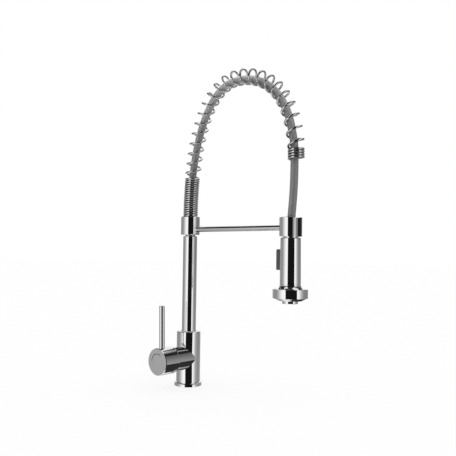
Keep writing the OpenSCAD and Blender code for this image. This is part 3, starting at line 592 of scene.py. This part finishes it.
def make_floor():
    """White floor, shown to the camera with the object's shadow softened"""
    material, graph = new_material("floor")
    path = graph.node("ShaderNodeLightPath").outputs
    diffuse = graph.node("ShaderNodeBsdfDiffuse", {"Color": WHITE})
    glow = graph.node("ShaderNodeEmission", {"Color": WHITE, "Strength": 1.0})
    part = graph.math("MULTIPLY", path["Is Camera Ray"], FLOOR_WHITE)
    graph.surface(graph.node("ShaderNodeMixShader", {0: part, 1: diffuse.outputs[0],
                                                     2: glow.outputs[0]}))
    corners = [(x * FLOOR_HALF, y * FLOOR_HALF, 0) for x, y in ((-1, -1), (1, -1), (1, 1), (-1, 1))]
    floor = stage_mesh("floor", corners, [(0, 1, 2, 3)], material)
    floor.visible_glossy = False


make_world()
make_floor()

# ---------- studio ----------

# Each ramp below is a row of places and the values there. Azimuths are in degrees from the
# camera's side towards the picture's right, elevations in degrees above the level.

# Brightness of the studio's wall by azimuth: black flag, white panels, grey beyond, pale behind
WALL = ((-180, 0.88), (-165, 0.88), (-150, 0.3), (-106, 0.28), (-98, 0.29), (-88, 0.39),
        (-78, 0.5), (-66, 0.73), (-54, 0.93), (-45, 1.0), (-29, 1.0), (-28, 0.008),
        (39.3, 0.008), (40.3, 1.0), (48, 1.0), (58, 0.76), (65, 0.56), (73, 0.37), (82, 0.26),
        (95, 0.2), (120, 0.2), (148, 0.28), (160, 0.88), (180, 0.88))
# How much the wall darkens on its way up to FADE_HEIGHT, by azimuth
WALL_FADE = ((-180, 0), (60, 0), (85, 1), (130, 1), (150, 0), (180, 0))
FADE_HEIGHT = 55
# Elevations of the wall's top and foot, by azimuth
WALL_TOP = ((-180, 58), (-158, 58), (-157, 18), (-100, 19), (-29, 19), (-28, 34), (39, 34),
            (40, 19), (60, 24), (85, 27), (120, 27), (152, 24), (153, 58), (180, 58))
WALL_FOOT = ((-180, -20), (-110, -30), (-60, -34), (60, -34), (85, -29), (120, -29), (180, -24))

# Above the wall: a dark gap, the pale roof from the elevation in ROOF, the dark ceiling
GAP_TONE = 0.02
ROOF = ((-180, 42), (-150, 42), (-130, 62), (-100, 62), (-60, 38), (-30, 38), (-29, 80),
        (40, 80), (41, 38), (180, 41))
ROOF_EDGE = 6
ROOF_TONE = ((-180, 0.9), (60, 0.9), (90, 0.75), (145, 0.75), (150, 0.9), (180, 0.9))
CEILING = 66
CEILING_TONE = 0.04

# Below the wall: brightness by elevation on the left, in front and on the right, how they give
# way to each other by azimuth, and the pale tone behind on the right
LEFT_FOOT = ((-90, 0.8), (-60, 0.7), (-50, 0.4), (-30, 0.34), (0, 0.34))
FRONT_FOOT = ((-90, 0.85), (-60, 0.8), (-52, 0.06), (0, 0.06))
RIGHT_FOOT = ((-90, 0.8), (-76, 0.7), (-68, 0.25), (-60, 0.03), (0, 0.02))
LEFT_TO_FRONT = ((-180, 0), (-66, 0), (-56, 1), (0, 1))
FRONT_TO_RIGHT = ((0, 0), (66, 0), (80, 1), (180, 1))
RIGHT_TO_BEHIND = ((0, 0), (160, 0), (167, 1), (180, 1))
BEHIND_TONE = 0.8

SHELL_R = 1.3
SHELL_CENTRE = Vector((0.08, 0.0, 0.28))
SHELL_COLUMNS, SHELL_ROWS = 720, 180


def ramp(points, x):
    """The value at x, between the two places it lies between"""
    for (a, low), (b, high) in zip(points, points[1:]):
        if a <= x <= b:
            return low + (high - low) * (x - a) / (b - a)
    return points[-1][1]


def roof_tone(azimuth, elevation):
    if elevation > CEILING:
        return CEILING_TONE
    start, tone = ramp(ROOF, azimuth), ramp(ROOF_TONE, azimuth)
    return ramp(((0, GAP_TONE), (start, GAP_TONE), (start + ROOF_EDGE, tone), (180, tone)),
                elevation)


def foot_tone(azimuth, elevation):
    left, front, right = (ramp(tones, elevation) for tones in (LEFT_FOOT, FRONT_FOOT, RIGHT_FOOT))
    if azimuth < 0:
        return left + (front - left) * ramp(LEFT_TO_FRONT, azimuth)
    tone = front + (right - front) * ramp(FRONT_TO_RIGHT, azimuth)
    return tone + (BEHIND_TONE - tone) * ramp(RIGHT_TO_BEHIND, azimuth)


def studio_tone(azimuth, elevation):
    """Brightness of the studio in one direction"""
    if elevation >= ramp(WALL_TOP, azimuth):
        return roof_tone(azimuth, elevation)
    if elevation <= ramp(WALL_FOOT, azimuth):
        return foot_tone(azimuth, elevation)
    return ramp(WALL, azimuth) * (1 - ramp(WALL_FADE, azimuth) * elevation / FADE_HEIGHT)


def make_studio():
    """The studio's panels and flags as a shell seen only in reflections. A vertex colour holds
    its tones."""
    verts, faces, tones = [], [], []
    for j in range(SHELL_ROWS + 1):
        elevation = -90 + 180 * j / SHELL_ROWS
        level = math.cos(math.radians(elevation)) * SHELL_R
        height = math.sin(math.radians(elevation)) * SHELL_R
        for k in range(SHELL_COLUMNS):
            azimuth = -180 + 360 * k / SHELL_COLUMNS
            heading = VIEW_AZIMUTH + math.radians(azimuth)
            verts.append((SHELL_CENTRE.x + math.sin(heading) * level,
                          SHELL_CENTRE.y - math.cos(heading) * level, SHELL_CENTRE.z + height))
            tones.append(studio_tone(azimuth, elevation))
            if j:
                m = (k + 1) % SHELL_COLUMNS
                low, high = (j - 1) * SHELL_COLUMNS, j * SHELL_COLUMNS
                faces.append((low + k, low + m, high + m, high + k))
    material, graph = new_material("studio")
    tone = graph.node("ShaderNodeVertexColor", layer_name="tone")
    graph.surface(graph.node("ShaderNodeEmission", {"Color": tone.outputs["Color"],
                                                    "Strength": 1.0}))
    shell = stage_mesh("studio", verts, faces, material)
    layer = shell.data.color_attributes.new("tone", "FLOAT_COLOR", "POINT")
    for i, value in enumerate(tones):
        layer.data[i].color = (value, value, value, 1)
    shell.visible_camera = False
    shell.visible_diffuse = False
    shell.visible_shadow = False
    shell.visible_transmission = False
    shell.visible_volume_scatter = False


make_studio()
